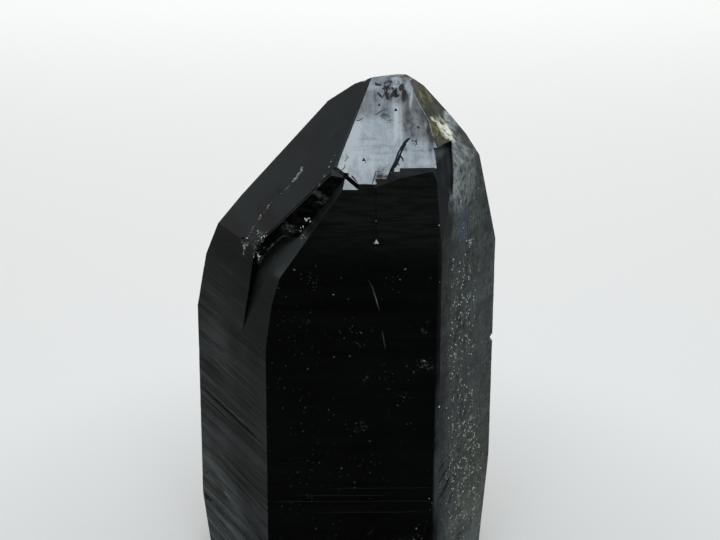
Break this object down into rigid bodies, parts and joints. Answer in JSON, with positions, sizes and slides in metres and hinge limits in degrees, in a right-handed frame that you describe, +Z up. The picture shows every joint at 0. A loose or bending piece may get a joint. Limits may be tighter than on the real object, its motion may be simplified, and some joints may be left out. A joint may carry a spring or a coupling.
{
  "type": "morion quartz crystal",
  "caption": "Upright point of black smoky quartz with striated prism faces, a glossy sloping face, a stepped left shoulder, a worn tip and a flat cut base.",
  "frame": {"origin": "centre of the bounding box in plan, on the flat base cut", "axes": "+Z up along the crystal's long axis, -Y out of the broad front face, +X to its right"},
  "size_m": [0.0636, 0.0466, 0.1149],
  "materials": {
    "morion_quartz": "natural glossy quartz faces, near-opaque black"
  },
  "bodies": {
    "root": {"morion_crystal": "morion_quartz"}
  },
  "joints": []
}
